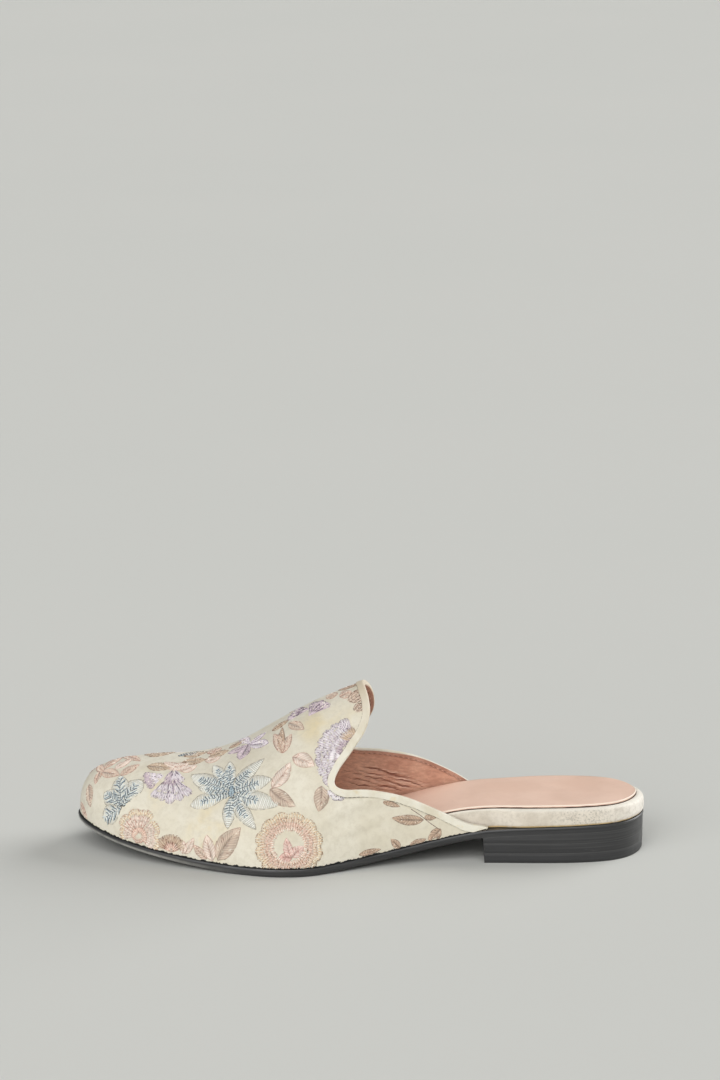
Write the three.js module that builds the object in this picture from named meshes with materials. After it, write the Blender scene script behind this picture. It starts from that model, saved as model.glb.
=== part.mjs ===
// A woman's backless loafer for the left foot, in millimetres, +Z up, standing on z = 0.
// The toe points along -X and the outer (lateral) side faces -Y.
// Everything is first laid out in last coordinates: x is the distance behind the toe tip,
// y is measured from the heel's centre line with the outer side negative, z is the height above the floor.
import * as THREE from "three";

// Driving dimensions
const LENGTH = 256; // outsole, toe tip to heel back
const BREAST = 182.8; // front face of the heel
const BREAST_SLANT = 0.06; // how far the breast leans back for each millimetre down
const WALL = 1.8; // upper: satin, backing and lining together
const GAP = 0.3; // between pieces that meet
const FEATHER_INSET = 0.8; // upper's lower edge, inside the edge of the outsole
const SOCK_THICKNESS = 1;
const TOP_LIFT_HEIGHT = 4.4;
const LIFT_HEIGHT = 4.2;
const BINDING_WIDTH = 2.8; // on the outside, below the edge of the upper
const TAPE = 0.5; // thickness of the binding
const QUARTER_END_LATERAL = 184; // where the footbed comes out from between the quarters
const QUARTER_END_MEDIAL = 192;
const RIM_RUN = 20; // length over which the footbed widens to the full heel

// How finely the surfaces are divided
const OUTLINE_STEPS = 40;
const HEEL_STEPS = 16;
const RIBS = 84;
const RIB_STEPS = 16;

// Rows of numbers as objects with named columns
function table(columns, rows) {
  return rows.map((row) => Object.fromEntries(columns.map((name, i) => [name, row[i]])));
}

// Outline of the outsole: how far each side lies from the heel's centre line
const OUTLINE = table(["from_toe", "lateral", "medial"], [
  [0, 12, 12],
  [8, -8.6, 26],
  [20, -19.8, 32.4],
  [38, -30.4, 36.6],
  [56, -38.4, 38.6],
  [74, -45, 38.8],
  [90, -49.2, 36.4],
  [104, -48.4, 32.4],
  [118, -42.6, 28.2],
  [132, -36.4, 25],
  [147, -31.8, 23],
  [165, -28.8, 22.9],
  [185, -28, 24.9],
  [206, -28.4, 27.2],
  [226, -27.6, 27.2],
  [241, -23.8, 23.8],
  [256, 0, 0],
]);

// Side profile: underside and thickness of the outsole, and top of the footbed
const PROFILE = table(["from_toe", "bottom", "thickness", "bed"], [
  [0, 10.8, 2.4, 17.6],
  [20, 6.5, 2.4, 13.4],
  [40, 3.3, 2.7, 10.6],
  [60, 1.1, 3.1, 8.6],
  [78, 0, 3.5, 7.8],
  [106, 0, 3.5, 9],
  [118, 0.8, 3.3, 10.4],
  [132, 2.4, 3.2, 13.2],
  [147, 4.8, 3.2, 17],
  [162, 7.8, 3.2, 21],
  [176, 10.6, 3.2, 23.5],
  [186, 12.1, 3.2, 24.2],
  [206, 13.2, 3.2, 24.6],
  [230, 13.8, 3.2, 24.8],
  [256, 14.2, 3.2, 25],
]);

// Cross sections of the last: height of the ridge, its place between the sides, and how upright the wall is
// (2 is an ellipse, less is more pointed)
const SECTIONS = table(["from_toe", "crown", "ridge", "upright"], [
  [0, 16, 12, 2.2],
  [2, 26, 11.8, 2.2],
  [6, 31.4, 11.4, 2.2],
  [12, 35.2, 10.8, 2.2],
  [20, 37.6, 10.2, 2.2],
  [38, 40, 8.8, 2.1],
  [56, 41.5, 7.4, 2],
  [74, 47, 6, 1.85],
  [92, 57.6, 4.8, 1.65],
  [110, 67.6, 3.8, 1.5],
  [129, 75.4, 3, 1.5],
  [150, 82.4, 2, 1.5],
  [192, 92, 0, 1.5],
]);

// Topline from the quarters' ends up to the middle of the vamp's tab, a row for each rib line: on each side
// its place along the last and its angle round the section (0 at the sole, 90 on the ridge), and how far
// ahead of that place the rib line meets the sole
const TOPLINE = table(["lateral_at", "lateral_angle", "medial_at", "medial_angle", "rib_lead"], [
  [184.9, 2.2, 190, 2.4, 0.4],
  [176.3, 5.6, 181.3, 9, 2],
  [165, 13.5, 169.7, 18.4, 5],
  [149.3, 23, 154, 27.6, 8],
  [133.7, 29.6, 138.6, 33, 10.6],
  [121.2, 33.4, 126.5, 36, 14.4],
  [116.5, 37.4, 122.6, 39, 23.6],
  [118.2, 42.6, 124.4, 43, 39],
  [124.1, 48.4, 129.6, 48.4, 59],
  [129.8, 55, 133.4, 55, 79.6],
  [131.8, 62.5, 133.8, 62.5, 95.8],
  [131.3, 71, 132.4, 71, 110.2],
  [130, 80.5, 130.4, 80.5, 122],
  [129.2, 90, 129.2, 90, 129.2],
]);

// A smooth curve through one column of a table.
// A held curve never swings past its rows, so level stretches stay level.
function curve(rows, column, key, held = false) {
  const xs = rows.map(key);
  const ys = rows.map((row) => row[column]);
  const rise = (i) => (ys[i + 1] - ys[i]) / (xs[i + 1] - xs[i]);
  const slopes = ys.map((_, i) => {
    if (i === 0) return rise(0);
    if (i === ys.length - 1) return rise(i - 1);
    const before = rise(i - 1);
    const after = rise(i);
    const share = (xs[i] - xs[i - 1]) / (xs[i + 1] - xs[i - 1]);
    if (!held) return THREE.MathUtils.lerp(before, after, share);
    return before * after > 0 ? (2 * before * after) / (before + after) : 0;
  });
  return (x) => {
    let i = 0;
    while (i < xs.length - 2 && x > xs[i + 1]) i += 1;
    const step = xs[i + 1] - xs[i];
    const t = (x - xs[i]) / step;
    const keep = (1 + 2 * t) * (1 - t) ** 2;
    const lead = t * (1 - t) ** 2 * slopes[i] + t * t * (t - 1) * slopes[i + 1];
    return keep * ys[i] + (1 - keep) * ys[i + 1] + step * lead;
  };
}

// The roll is an angle from 0 at the toe tip to pi at the heel back, so that both ends come out round
const rollAt = (fromToe) => Math.acos(1 - (2 * fromToe) / LENGTH);
const placeAt = (roll) => (LENGTH * (1 - Math.cos(roll))) / 2;
const byRoll = (row) => rollAt(row.from_toe);
const byPlace = (row) => row.from_toe;

const SIDES = {
  lateral: curve(OUTLINE, "lateral", byRoll),
  medial: curve(OUTLINE, "medial", byRoll),
};
const soleBottom = curve(PROFILE, "bottom", byPlace, true);
const soleThickness = curve(PROFILE, "thickness", byPlace, true);
const soleTop = (x) => soleBottom(x) + soleThickness(x);
const bedTop = curve(PROFILE, "bed", byPlace, true);
const crown = curve(SECTIONS, "crown", byRoll);
const ridge = curve(SECTIONS, "ridge", byRoll);
const upright = curve(SECTIONS, "upright", byRoll);

// A point of the outline, moved in by inset square to the edge
function outlinePoint(side, roll, inset) {
  const small = 1e-4;
  const ahead = new THREE.Vector2(placeAt(roll + small), SIDES[side](roll + small));
  const behind = new THREE.Vector2(placeAt(roll - small), SIDES[side](roll - small));
  const along = ahead.sub(behind).normalize();
  const move = side === "lateral" ? inset : -inset;
  return new THREE.Vector2(placeAt(roll) - along.y * move, SIDES[side](roll) + along.x * move);
}

const smooth = (t) => THREE.MathUtils.smoothstep(t, 0, 1);

// How far the footbed has come out from between the quarters: 0 inside the upper, 1 at the heel
function exposure(side, x) {
  const start = side === "lateral" ? QUARTER_END_LATERAL : QUARTER_END_MEDIAL;
  return smooth((x - start) / RIM_RUN);
}

// A closed surface, collected corner by corner
class Shell {
  corners = [];
  faces = [];

  add(x, y, z) {
    this.corners.push(x, y, z);
    return this.corners.length / 3 - 1;
  }

  triangle(a, b, c) {
    if (a !== b && b !== c && c !== a) this.faces.push(a, b, c);
  }

  quad(a, b, c, d) {
    this.triangle(a, b, c);
    this.triangle(a, c, d);
  }

  // Quads between two rows of corners
  band(one, two) {
    for (let i = 0; i + 1 < one.length; i += 1) this.quad(one[i], one[i + 1], two[i + 1], two[i]);
  }

  corner(i) {
    return new THREE.Vector3().fromArray(this.corners, 3 * i);
  }

  volume() {
    let sum = 0;
    for (let i = 0; i < this.faces.length; i += 3) {
      const [a, b, c] = this.faces.slice(i, i + 3).map((f) => this.corner(f));
      sum += a.dot(b.cross(c)) / 6;
    }
    return sum;
  }

  geometry() {
    if (this.volume() < 0) this.faces.reverse();
    const made = new THREE.BufferGeometry();
    made.setAttribute("position", new THREE.Float32BufferAttribute(this.corners, 3));
    made.setIndex(this.faces);
    made.computeVertexNormals();
    return made;
  }
}

// A solid stacked from outlines, lowest first. Each layer has a start roll, an inset(side, x) and
// a height(x). An outline that starts at roll 0 closes on the toe tip, any other has a straight front.
function stacked(layers, steps) {
  const shell = new Shell();
  const rings = layers.map(({ start, inset, height }) => {
    const corner = (side, k) => {
      const roll = start + ((Math.PI - start) * k) / steps;
      const point = outlinePoint(side, roll, inset(side, placeAt(roll)));
      const x = k === 0 && start > 0 ? placeAt(start) : point.x;
      return shell.add(x, point.y, height(x));
    };
    const tip = (k) => k === steps || (k === 0 && start === 0);
    const lateral = Array.from({ length: steps + 1 }, (_, k) => corner("lateral", k));
    const medial = lateral.map((own, k) => (tip(k) ? own : corner("medial", k)));
    return { lateral, medial };
  });
  rings.slice(1).forEach((upper, i) => {
    const lower = rings[i];
    shell.band(lower.lateral, upper.lateral);
    shell.band(upper.medial, lower.medial);
    shell.quad(lower.medial[0], lower.lateral[0], upper.lateral[0], upper.medial[0]);
  });
  const top = rings.at(-1);
  shell.band(rings[0].medial, rings[0].lateral);
  shell.band(top.lateral, top.medial);
  return shell.geometry();
}

// Outsole: one thin sole from toe to heel, its edge trimmed with a small round
function outsole() {
  const edge = table(["inset", "share"], [
    [0.9, 0],
    [0.15, 0.25],
    [0, 0.6],
    [0.25, 1],
  ]);
  const layers = edge.map(({ inset, share }) => ({
    start: 0,
    inset: () => inset,
    height: (x) => soleBottom(x) + share * soleThickness(x),
  }));
  return stacked(layers, OUTLINE_STEPS);
}

// One lift of the heel between two heights, its edge eased at both faces
function heelLift(low, high, inset) {
  const ease = 0.25;
  const edge = table(["inset", "share"], [
    [inset + ease, 0],
    [inset, 0.12],
    [inset, 0.88],
    [inset + ease, 1],
  ]);
  const layers = edge.map(({ inset: own, share }) => {
    const height = (x) => THREE.MathUtils.lerp(low(x), high(x), share);
    const depth = soleBottom(BREAST) - height(BREAST);
    return { start: rollAt(BREAST + BREAST_SLANT * depth), inset: () => own, height };
  });
  return stacked(layers, HEEL_STEPS);
}

// Footbed: padded edge where it shows behind the quarters, plain edge inside the upper
const BED_PLAY = 1.1; // room between its plain edge and the upper
const INSIDE_INSET = FEATHER_INSET + WALL + GAP + BED_PLAY;
const RIM_INSET = 0;
const bedInset = (side, x) => THREE.MathUtils.lerp(INSIDE_INSET, RIM_INSET, exposure(side, x));

function insole() {
  const edge = table(["plain", "padded", "share"], [
    [0.2, 1.1, 0],
    [0, 0.25, 0.2],
    [0, 0, 0.45],
    [0, 0.35, 0.7],
    [0.1, 1.3, 0.9],
    [0.3, 3, 1],
  ]);
  const layers = edge.map(({ plain, padded, share }) => ({
    start: 0,
    inset: (side, x) => bedInset(side, x) + THREE.MathUtils.lerp(plain, padded, exposure(side, x)),
    height: (x) => THREE.MathUtils.lerp(soleTop(x) + GAP, bedTop(x), share),
  }));
  return stacked(layers, OUTLINE_STEPS);
}

// Sock: leather cover of the footbed, set in from its rim at the heel
function sock() {
  const INSIDE_MARGIN = 0.4;
  const RIM_MARGIN = 3.5;
  const edge = table(["inset", "share"], [
    [0.2, 0],
    [0, 0.4],
    [0.1, 0.8],
    [0.45, 1],
  ]);
  const margin = (side, x) => THREE.MathUtils.lerp(INSIDE_MARGIN, RIM_MARGIN, exposure(side, x));
  const layers = edge.map(({ inset, share }) => ({
    start: 0,
    inset: (side, x) => bedInset(side, x) + margin(side, x) + inset,
    height: (x) => bedTop(x) + GAP + share * SOCK_THICKNESS,
  }));
  return stacked(layers, OUTLINE_STEPS);
}

// A point of the upper's outer face, from the roll along the last and the angle round its section
// (0 on the outer side's lower edge, pi on the inner side's)
function lastPoint(roll, angle) {
  const side = angle <= Math.PI / 2 ? "lateral" : "medial";
  const foot = outlinePoint(side, roll, FEATHER_INSET);
  const base = soleTop(foot.x) + GAP;
  const out = Math.abs(Math.cos(angle));
  const up = Math.max(Math.sin(angle), 0) ** (2 / upright(roll));
  const y = THREE.MathUtils.lerp(ridge(roll), foot.y, out);
  return new THREE.Vector3(foot.x, y, THREE.MathUtils.lerp(base, Math.max(crown(roll), base), up));
}

// Ribs of the upper run from the topline to the lower edge, straight on a half-disc chart whose radius is
// the roll and whose angle is the angle round the section. The toe tip is the middle of the disc.
function ribLayout() {
  const half = (side, sign) =>
    TOPLINE.map((row) => ({
      at: row[`${side}_at`],
      angle: 90 + sign * (90 - row[`${side}_angle`]),
      foot: sign * rollAt(row[`${side}_at`] - row.rib_lead),
    }));
  const rows = [...half("lateral", -1), ...half("medial", 1).slice(0, -1).reverse()];
  const byOrder = (row) => rows.indexOf(row);
  const place = curve(rows, "at", byOrder);
  const angle = curve(rows, "angle", byOrder);
  const foot = curve(rows, "foot", byOrder);
  return Array.from({ length: RIBS + 1 }, (_, i) => {
    const order = ((rows.length - 1) * i) / RIBS;
    const roll = rollAt(place(order));
    const turned = THREE.MathUtils.degToRad(angle(order));
    const top = new THREE.Vector2(-roll * Math.cos(turned), roll * Math.sin(turned));
    return { top, foot: new THREE.Vector2(foot(order), 0) };
  });
}

function chartPoint(spot) {
  const angle = Math.atan2(Math.max(spot.y, 0), -spot.x);
  return lastPoint(Math.max(spot.length(), 1e-3), angle);
}

// Outer face of the upper as rows of points, one row for each rib, from the topline down
const OUTER = ribLayout().map(({ top, foot }) =>
  Array.from({ length: RIB_STEPS + 1 }, (_, j) => chartPoint(top.clone().lerp(foot, j / RIB_STEPS))),
);

// Directions at one point of a grid: along the topline, down the rib and out of the surface
function directions(grid, i, j) {
  const clamp = (row, n) => row[Math.min(Math.max(n, 0), row.length - 1)];
  const along = clamp(grid, i + 1)[j].clone().sub(clamp(grid, i - 1)[j]).normalize();
  const rib = clamp(grid[i], j + 1).clone().sub(clamp(grid[i], j - 1));
  const out = along.clone().cross(rib).normalize();
  const down = out.clone().cross(along).normalize();
  return { along, out, down };
}

// Upper: vamp and quarters as one wall, open at the throat, behind and below
function upper() {
  const shell = new Shell();
  const rows = (offset) =>
    OUTER.map((rib, i) =>
      rib.map((point, j) => {
        const { out } = directions(OUTER, i, j);
        if (j === rib.length - 1) out.setZ(0).normalize();
        const moved = point.clone().addScaledVector(out, -offset);
        return shell.add(moved.x, moved.y, moved.z);
      }),
    );
  const outside = rows(0);
  const inside = rows(WALL);
  outside.slice(1).forEach((rib, i) => shell.band(outside[i], rib));
  inside.slice(1).forEach((rib, i) => shell.band(rib, inside[i]));
  const edge = (grid, j) => grid.map((rib) => rib[j]);
  shell.band(edge(outside, 0), edge(inside, 0));
  shell.band(edge(inside, RIB_STEPS), edge(outside, RIB_STEPS));
  shell.band(inside[0], outside[0]);
  shell.band(outside.at(-1), inside.at(-1));
  return shell.geometry();
}

// Binding: a tape that lies on the outside along the edge of the upper and folds over it
function toplineBinding() {
  const OUT = GAP + TAPE;
  const fold = table(["out", "leg", "rise"], [
    [GAP, 1, 0],
    [OUT - 0.15, 1, 0],
    [OUT, 0.9, 0],
    [OUT, 0.15, 0],
    [OUT - 0.4, 0, 0.7],
    [-WALL / 2, 0, 1],
    [-WALL + 0.3, 0, 0.9],
    [-WALL, 0, 0.65],
    [-WALL + 0.1, 0, GAP / OUT],
    [GAP, 0, GAP / OUT],
  ]);
  const shell = new Shell();
  const rings = OUTER.map((rib, i) => {
    const { out, down } = directions(OUTER, i, 0);
    const room = (rib[0].z - soleTop(rib[0].x) - GAP) / Math.max(-down.z, 0.2);
    const leg = Math.min(BINDING_WIDTH, room);
    return fold.map((row) => {
      const drop = row.leg * leg - row.rise * OUT;
      const point = rib[0].clone().addScaledVector(out, row.out).addScaledVector(down, drop);
      return shell.add(point.x, point.y, point.z);
    });
  });
  const closed = (ring) => [...ring, ring[0]];
  rings.slice(1).forEach((ring, i) => shell.band(closed(rings[i]), closed(ring)));
  const flat = fold.map((row) => new THREE.Vector2(row.out, row.leg * BINDING_WIDTH - row.rise * OUT));
  for (const [a, b, c] of THREE.ShapeUtils.triangulateShape(flat, [])) {
    const first = rings[0];
    const last = rings.at(-1);
    shell.triangle(first[a], first[b], first[c]);
    shell.triangle(last[a], last[c], last[b]);
  }
  return shell.geometry();
}

function material(color, roughness) {
  return new THREE.MeshStandardMaterial({ color, roughness, metalness: 0 });
}

const BLACK_SOLE = material(0x2b2b2c, 0.5);
const BLACK_HEEL = material(0x333334, 0.45);
const CREAM_SATIN = material(0xe0d8c4, 0.6);
const CREAM_TAPE = material(0xe2d9c6, 0.65);
const PEACH_LEATHER = material(0xdcb8a2, 0.5);

// Heights between which each lift of the heel lies: the first one fills up to the outsole
const level = (z) => () => z;
const SECOND_LOW = TOP_LIFT_HEIGHT + GAP;
const SECOND_HIGH = SECOND_LOW + LIFT_HEIGHT;
const FIRST_LOW = SECOND_HIGH + GAP;
const firstHigh = (x) => soleBottom(x) - GAP;

const PIECES = [
  ["outsole", outsole(), BLACK_SOLE],
  ["heel_lift_1", heelLift(level(FIRST_LOW), firstHigh, 0.3), BLACK_HEEL],
  ["heel_lift_2", heelLift(level(SECOND_LOW), level(SECOND_HIGH), 0.4), BLACK_HEEL],
  ["heel_top_lift", heelLift(level(0), level(TOP_LIFT_HEIGHT), 0.6), BLACK_HEEL],
  ["insole", insole(), CREAM_SATIN],
  ["sock", sock(), PEACH_LEATHER],
  ["upper", upper(), CREAM_SATIN],
  ["topline_binding", toplineBinding(), CREAM_TAPE],
];

const loafer = new THREE.Group();
for (const [name, geometry, finish] of PIECES) {
  const mesh = new THREE.Mesh(geometry, finish);
  mesh.name = name;
  loafer.add(mesh);
}

// The origin is on the floor under the middle of the bounding box
const box = new THREE.Box3().setFromObject(loafer);
const middle = box.getCenter(new THREE.Vector3());
loafer.position.set(-middle.x, -middle.y, -box.min.z);

export default loafer;
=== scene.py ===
# Looks of a woman's backless loafer for the left foot: cream satin with thread embroidery, bound topline,
# leather lining and sock, padded satin footbed, black sole and heel.
# Shapes are worked out in last coordinates, in millimetres: x is the distance behind the toe tip,
# y is measured from the heel's centre line with the outer side negative, z is the height above the floor.
import math
from collections import namedtuple

import bmesh
import bpy
import numpy as np
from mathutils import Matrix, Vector
from mathutils.bvhtree import BVHTree


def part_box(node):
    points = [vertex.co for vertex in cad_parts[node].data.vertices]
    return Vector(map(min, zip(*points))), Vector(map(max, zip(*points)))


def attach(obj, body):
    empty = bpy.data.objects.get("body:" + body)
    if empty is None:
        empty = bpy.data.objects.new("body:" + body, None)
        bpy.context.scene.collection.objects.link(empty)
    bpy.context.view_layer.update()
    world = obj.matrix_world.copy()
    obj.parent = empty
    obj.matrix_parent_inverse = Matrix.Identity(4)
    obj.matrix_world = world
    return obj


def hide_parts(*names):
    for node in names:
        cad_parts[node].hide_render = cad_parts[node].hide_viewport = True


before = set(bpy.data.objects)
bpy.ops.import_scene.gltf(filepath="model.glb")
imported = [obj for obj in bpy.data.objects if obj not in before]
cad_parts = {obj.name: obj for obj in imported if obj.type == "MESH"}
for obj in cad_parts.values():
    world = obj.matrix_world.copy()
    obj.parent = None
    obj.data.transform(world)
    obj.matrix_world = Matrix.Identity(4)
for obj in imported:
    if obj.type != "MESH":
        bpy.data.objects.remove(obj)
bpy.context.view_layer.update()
chance = np.random.default_rng(7)

# Driving dimensions, as in the part's source
MM = 0.001
LENGTH = 256
BREAST = 182.8
BREAST_SLANT = 0.06
WALL = 1.8
GAP = 0.3
FEATHER_INSET = 0.8
SOCK_THICKNESS = 1
TOP_LIFT_HEIGHT = 4.4
LIFT_HEIGHT = 4.2
BINDING_WIDTH = 2.8
TAPE = 0.5
QUARTER_END = {"lateral": 184, "medial": 192}
RIM_RUN = 20
BED_PLAY = 1.1
INSIDE_INSET = FEATHER_INSET + WALL + GAP + BED_PLAY
INSIDE_MARGIN = 0.4
RIM_MARGIN = 3.5

# How finely the surfaces are divided
OUTLINE_STEPS = 220
HEEL_STEPS = 90
ACROSS = 24
EDGE_ROWS = 14
RIBS = 380
RIB_STEPS = 84


def columns(names, rows):
    """Rows of numbers as named columns."""
    return dict(zip(names.split(), np.array(rows, float).T))


OUTLINE = columns("from_toe lateral medial", [
    (0, 12, 12),
    (8, -8.6, 26),
    (20, -19.8, 32.4),
    (38, -30.4, 36.6),
    (56, -38.4, 38.6),
    (74, -45, 38.8),
    (90, -49.2, 36.4),
    (104, -48.4, 32.4),
    (118, -42.6, 28.2),
    (132, -36.4, 25),
    (147, -31.8, 23),
    (165, -28.8, 22.9),
    (185, -28, 24.9),
    (206, -28.4, 27.2),
    (226, -27.6, 27.2),
    (241, -23.8, 23.8),
    (256, 0, 0),
])

PROFILE = columns("from_toe bottom thickness bed", [
    (0, 10.8, 2.4, 17.6),
    (20, 6.5, 2.4, 13.4),
    (40, 3.3, 2.7, 10.6),
    (60, 1.1, 3.1, 8.6),
    (78, 0, 3.5, 7.8),
    (106, 0, 3.5, 9),
    (118, 0.8, 3.3, 10.4),
    (132, 2.4, 3.2, 13.2),
    (147, 4.8, 3.2, 17),
    (162, 7.8, 3.2, 21),
    (176, 10.6, 3.2, 23.5),
    (186, 12.1, 3.2, 24.2),
    (206, 13.2, 3.2, 24.6),
    (230, 13.8, 3.2, 24.8),
    (256, 14.2, 3.2, 25),
])

SECTIONS = columns("from_toe crown ridge upright", [
    (0, 16, 12, 2.2),
    (2, 26, 11.8, 2.2),
    (6, 31.4, 11.4, 2.2),
    (12, 35.2, 10.8, 2.2),
    (20, 37.6, 10.2, 2.2),
    (38, 40, 8.8, 2.1),
    (56, 41.5, 7.4, 2),
    (74, 47, 6, 1.85),
    (92, 57.6, 4.8, 1.65),
    (110, 67.6, 3.8, 1.5),
    (129, 75.4, 3, 1.5),
    (150, 82.4, 2, 1.5),
    (192, 92, 0, 1.5),
])

TOPLINE = columns("lateral_at lateral_angle medial_at medial_angle rib_lead", [
    (184.9, 2.2, 190, 2.4, 0.4),
    (176.3, 5.6, 181.3, 9, 2),
    (165, 13.5, 169.7, 18.4, 5),
    (149.3, 23, 154, 27.6, 8),
    (133.7, 29.6, 138.6, 33, 10.6),
    (121.2, 33.4, 126.5, 36, 14.4),
    (116.5, 37.4, 122.6, 39, 23.6),
    (118.2, 42.6, 124.4, 43, 39),
    (124.1, 48.4, 129.6, 48.4, 59),
    (129.8, 55, 133.4, 55, 79.6),
    (131.8, 62.5, 133.8, 62.5, 95.8),
    (131.3, 71, 132.4, 71, 110.2),
    (130, 80.5, 130.4, 80.5, 122),
    (129.2, 90, 129.2, 90, 129.2),
])


def mix(a, b, share):
    return a + (b - a) * share


def smooth(t):
    t = np.clip(t, 0, 1)
    return t * t * (3 - 2 * t)


def curve(xs, ys, held=False):
    """A smooth curve through points. A held curve never swings past them."""
    rise = np.diff(ys) / np.diff(xs)
    before, after = rise[:-1], rise[1:]
    share = (xs[1:-1] - xs[:-2]) / (xs[2:] - xs[:-2])
    inner = mix(before, after, share)
    if held:
        same_way = before * after > 0
        total = np.where(same_way, before + after, 1)
        inner = np.where(same_way, 2 * before * after / total, 0)
    slopes = np.concatenate([rise[:1], inner, rise[-1:]])

    def at(x):
        x = np.asarray(x, float)
        i = np.clip(np.searchsorted(xs, x) - 1, 0, len(xs) - 2)
        step = xs[i + 1] - xs[i]
        t = (x - xs[i]) / step
        keep = (1 + 2 * t) * (1 - t) ** 2
        lead = t * (1 - t) ** 2 * slopes[i] + t * t * (t - 1) * slopes[i + 1]
        return keep * ys[i] + (1 - keep) * ys[i + 1] + step * lead

    return at


def roll_at(from_toe):
    """An angle from 0 at the toe tip to pi at the heel back, so that both ends come out round."""
    return np.arccos(1 - 2 * np.asarray(from_toe, float) / LENGTH)


def place_at(roll):
    return LENGTH * (1 - np.cos(roll)) / 2


def by_roll(rows, column):
    return curve(roll_at(rows["from_toe"]), rows[column])


SIDES = {side: by_roll(OUTLINE, side) for side in ("lateral", "medial")}
sole_bottom = curve(PROFILE["from_toe"], PROFILE["bottom"], held=True)
sole_thickness = curve(PROFILE["from_toe"], PROFILE["thickness"], held=True)
bed_top = curve(PROFILE["from_toe"], PROFILE["bed"], held=True)
crown = by_roll(SECTIONS, "crown")
ridge = by_roll(SECTIONS, "ridge")
upright = by_roll(SECTIONS, "upright")


def sole_top(x):
    return sole_bottom(x) + sole_thickness(x)


# The part's origin lies on the floor under the middle of its box
LOWEST_Y = SIDES["lateral"](np.linspace(0, math.pi, 2000)).min()
ORIGIN = np.array([-LENGTH / 2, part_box("outsole")[0].y / MM - LOWEST_Y, 0])


def outline_points(side, roll, inset):
    """Points of the outline, moved in square to the edge."""
    small = 1e-4
    along_x = place_at(roll + small) - place_at(roll - small)
    along_y = SIDES[side](roll + small) - SIDES[side](roll - small)
    size = np.hypot(along_x, along_y)
    move = np.where(side == "lateral", inset, -np.asarray(inset, float)) / size
    return np.stack([place_at(roll) - along_y * move, SIDES[side](roll) + along_x * move], -1)


def exposure(side, x):
    """How far the footbed has come out from between the quarters: 0 inside the upper, 1 at the heel."""
    return smooth((x - QUARTER_END[side]) / RIM_RUN)


# Meshes
def link_piece(name, mesh, material, nodes, sharp):
    piece = bpy.data.objects.new(name, mesh)
    bpy.context.scene.collection.objects.link(piece)
    mesh.materials.append(material)
    mesh.shade_smooth()
    mesh.set_sharp_from_angle(angle=math.radians(sharp))
    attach(piece, "root")
    if nodes:
        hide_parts(*nodes)
    return piece


def make_piece(name, points, faces, material, nodes=(), weld=True, sharp=42, attributes=None):
    """A mesh piece from points in last coordinates and rows of four corners. Edges over the sharp angle stay
    hard."""
    mesh = bpy.data.meshes.new(name)
    placed = ((np.asarray(points, float) + ORIGIN) * MM).astype(np.float32)
    faces = np.asarray(faces, np.int32)
    mesh.vertices.add(len(placed))
    mesh.vertices.foreach_set("co", placed.ravel())
    mesh.loops.add(faces.size)
    mesh.loops.foreach_set("vertex_index", faces.ravel())
    mesh.polygons.add(len(faces))
    mesh.polygons.foreach_set("loop_start", np.arange(0, faces.size, 4, dtype=np.int32))
    for key, values in (attributes or {}).items():
        layer = mesh.attributes.new(key, "FLOAT", "POINT")
        layer.data.foreach_set("value", np.asarray(values, np.float32))
    mesh.update(calc_edges=True)
    if weld:
        shape = bmesh.new()
        shape.from_mesh(mesh)
        bmesh.ops.remove_doubles(shape, verts=shape.verts, dist=0.002 * MM)
        bmesh.ops.recalc_face_normals(shape, faces=shape.faces)
        shape.to_mesh(mesh)
        shape.free()
    mesh.validate()
    return link_piece(name, mesh, material, nodes, sharp)


def grid_faces(rows, steps, first=0):
    """Corners of the faces of a grid of points that is stored row by row."""
    i, j = np.meshgrid(np.arange(rows - 1), np.arange(steps - 1), indexing="ij")
    corner = (first + i * steps + j).ravel()
    return np.stack([corner, corner + 1, corner + steps + 1, corner + steps], -1)


def edge_rows(names, rows, count=EDGE_ROWS):
    """A smooth edge profile through a few rows."""
    given = columns(names, rows)
    order = np.arange(len(rows), dtype=float)
    fine = np.linspace(0, len(rows) - 1, count)
    made = {key: curve(order, values)(fine) for key, values in given.items()}
    return [dict(zip(made, row)) for row in zip(*made.values())]


def plate(layers, steps, relief=None):
    """A solid stacked from outlines, lowest first, as points, faces and each point's share of the height.
    Each layer has a start roll, an inset(side, x) and a height(x)."""
    rings = []
    for start, inset, height in layers:
        roll = np.linspace(start, math.pi, steps + 1)
        sides = []
        for side in SIDES:
            flat = outline_points(side, roll, inset(side, place_at(roll)))
            if start > 0:
                flat[0, 0] = place_at(start)
            sides.append(np.column_stack([flat, height(flat[:, 0])]))
        rings.append(sides)
    loops = [np.vstack([lateral, medial[::-1], lateral[:1]]) for lateral, medial in rings]
    points = [np.vstack(loops)]
    shares = [np.repeat(np.linspace(0, 1, len(loops)), len(loops[0]))]
    faces = [grid_faces(len(loops), len(loops[0]))]
    count = len(points[0])
    for level, (lateral, medial) in ((0, rings[0]), (1, rings[-1])):
        across = np.linspace(0, 1, ACROSS + 1)[:, None, None]
        cap = mix(lateral, medial, across)
        if relief is not None and level == 1:
            cap[1:-1, :, 2] += relief(cap[1:-1])
        points.append(cap.reshape(-1, 3))
        shares.append(np.full(cap.shape[0] * cap.shape[1], float(level)))
        faces.append(grid_faces(ACROSS + 1, steps + 1, count))
        count += cap.shape[0] * cap.shape[1]
    return np.vstack(points), np.vstack(faces), np.concatenate(shares)


# Node materials
def srgb(red, green, blue):
    """A colour given as it looks on a screen, 0 to 255."""
    parts = [c / 255 for c in (red, green, blue)]
    return tuple(c / 12.92 if c < 0.04045 else ((c + 0.055) / 1.055) ** 2.4 for c in parts) + (1,)


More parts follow.
